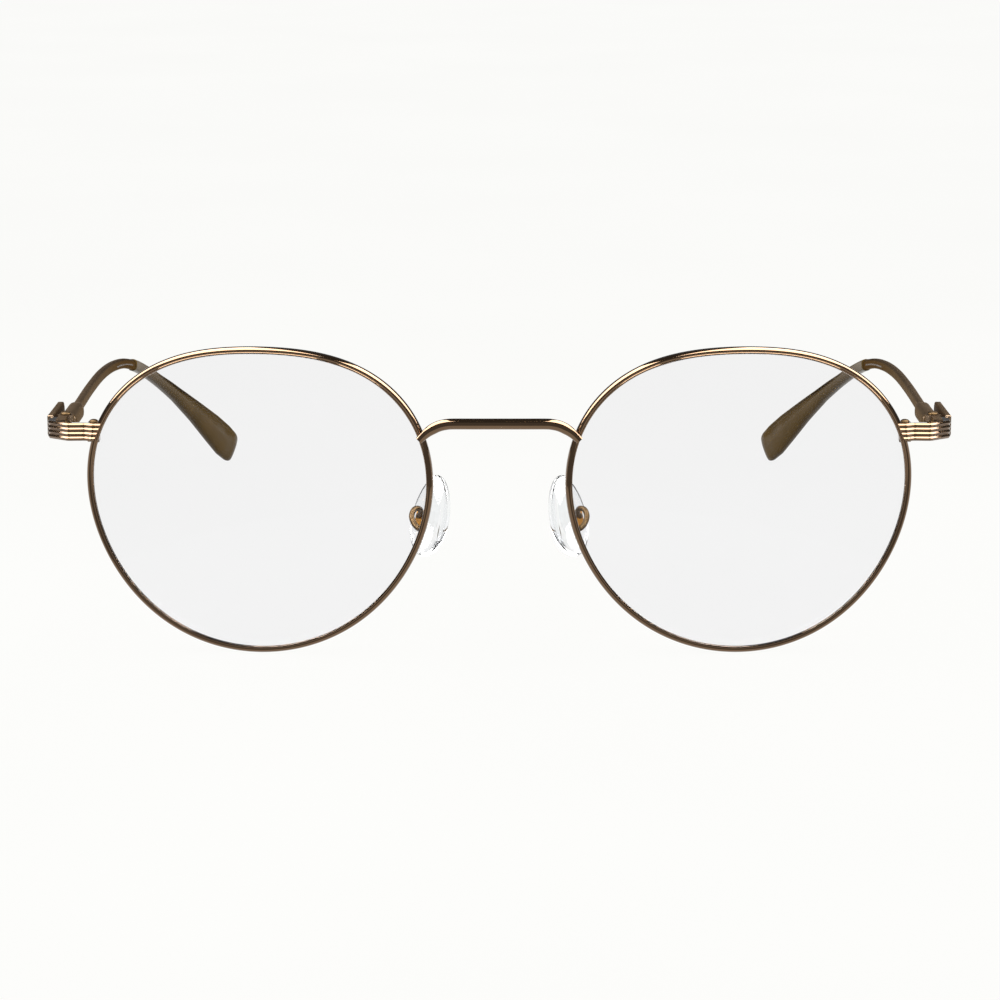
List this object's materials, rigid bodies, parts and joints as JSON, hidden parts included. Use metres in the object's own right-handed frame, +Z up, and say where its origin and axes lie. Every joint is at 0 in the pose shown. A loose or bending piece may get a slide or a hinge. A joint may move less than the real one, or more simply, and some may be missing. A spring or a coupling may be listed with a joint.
{
  "type": "eyeglasses",
  "caption": "Round wire eyeglasses with sprung folding temples, rocking silicone nose pads on curled arms, clear lenses and moulded ear tips.",
  "frame": {"origin": "centre of the bounding box's bottom face, on the surface that the open glasses stand on", "axes": "+Z up; the front with the lenses faces -Y and the temples run back along +Y; +X is the wearer's left"},
  "size_m": [0.1388, 0.1338, 0.0475],
  "materials": {
    "antique_gold": "polished antique gold plating",
    "dark_gold": "satin dark bronze plating",
    "screw_gold": "turned and plated",
    "spring_steel": "drawn wire",
    "nylon": "moulded",
    "demo_lens": "clear moulded lens with polished faces",
    "brown_acetate": "polished olive brown",
    "clear_silicone": "clear soft silicone",
    "clear_insert": "clear hard insert"
  },
  "bodies": {
    "front": {"bridge": "antique_gold", "left_rim": "antique_gold", "left_lens": "demo_lens", "left_rim_lock_upper": "antique_gold", "left_rim_lock_lower": "antique_gold", "left_rim_lock_screw": "screw_gold", "left_endpiece": "antique_gold", "left_hinge_front_leaf": "dark_gold", "left_hinge_screw": "screw_gold", "left_pad_arm": "antique_gold", "left_pad_box": "screw_gold", "left_pad_screw": "screw_gold", "right_rim": "antique_gold", "right_lens": "demo_lens", "right_rim_lock_upper": "antique_gold", "right_rim_lock_lower": "antique_gold", "right_rim_lock_screw": "screw_gold", "right_endpiece": "antique_gold", "right_hinge_front_leaf": "dark_gold", "right_hinge_screw": "screw_gold", "right_pad_arm": "antique_gold", "right_pad_box": "screw_gold", "right_pad_screw": "screw_gold"},
    "left_hinge_barrel": {"left_hinge_bush": "nylon"},
    "left_hinge_rod": {"left_hinge_slider": "dark_gold", "left_slider_nut": "screw_gold"},
    "left_temple": {"left_spring_box": "dark_gold", "left_spring_collar": "dark_gold", "left_side_plaque": "antique_gold", "left_temple_wire": "antique_gold", "left_temple_tip": "brown_acetate", "left_coil_spring": "spring_steel"},
    "left_pad": {"left_nose_pad": "clear_silicone", "left_pad_insert": "clear_insert"},
    "right_hinge_barrel": {"right_hinge_bush": "nylon"},
    "right_hinge_rod": {"right_hinge_slider": "dark_gold", "right_slider_nut": "screw_gold"},
    "right_temple": {"right_spring_box": "dark_gold", "right_spring_collar": "dark_gold", "right_side_plaque": "antique_gold", "right_temple_wire": "antique_gold", "right_temple_tip": "brown_acetate", "right_coil_spring": "spring_steel"},
    "right_pad": {"right_nose_pad": "clear_silicone", "right_pad_insert": "clear_insert"}
  },
  "joints": [
    {"name": "left_temple_fold", "type": "hinge", "parent": "front", "child": "left_hinge_barrel", "pos_m": [0.066, -0.05468, 0.03383], "axis": [0.003, 0.0697, 0.9976], "range_deg": [0, 84]},
    {"name": "left_temple_flex", "type": "hinge", "parent": "left_hinge_barrel", "child": "left_hinge_rod", "pos_m": [0.066, -0.05468, 0.03383], "axis": [-0.003, -0.0697, -0.9976], "range_deg": [0, 12], "stiffness_Nm_per_rad": 0.4},
    {"name": "left_slider_travel", "type": "slide", "parent": "left_hinge_rod", "child": "left_temple", "axis": [0.0435, 0.9966, -0.0698], "range_m": [0, 0.0006], "deforming": ["left_coil_spring"]},
    {"name": "left_pad_rock", "type": "hinge", "parent": "front", "child": "left_pad", "pos_m": [0.01185, -0.05665, 0.01953], "axis": [0.766, 0.6426, 0.0146], "range_deg": [-10, 10]},
    {"name": "right_temple_fold", "type": "hinge", "parent": "front", "child": "right_hinge_barrel", "pos_m": [-0.066, -0.05468, 0.03383], "axis": [0.003, -0.0697, -0.9976], "range_deg": [0, 72]},
    {"name": "right_temple_flex", "type": "hinge", "parent": "right_hinge_barrel", "child": "right_hinge_rod", "pos_m": [-0.066, -0.05468, 0.03383], "axis": [-0.003, 0.0697, 0.9976], "range_deg": [0, 12], "stiffness_Nm_per_rad": 0.4},
    {"name": "right_slider_travel", "type": "slide", "parent": "right_hinge_rod", "child": "right_temple", "axis": [-0.0435, 0.9966, -0.0698], "range_m": [0, 0.0006], "deforming": ["right_coil_spring"]},
    {"name": "right_pad_rock", "type": "hinge", "parent": "front", "child": "right_pad", "pos_m": [-0.01185, -0.05665, 0.01953], "axis": [-0.766, 0.6426, 0.0146], "range_deg": [-10, 10]}
  ],
  "couplings": [
    {"joint": "left_slider_travel", "follows": "left_temple_flex", "m_per_rad": 0.0026},
    {"joint": "right_slider_travel", "follows": "right_temple_flex", "m_per_rad": 0.0026}
  ]
}
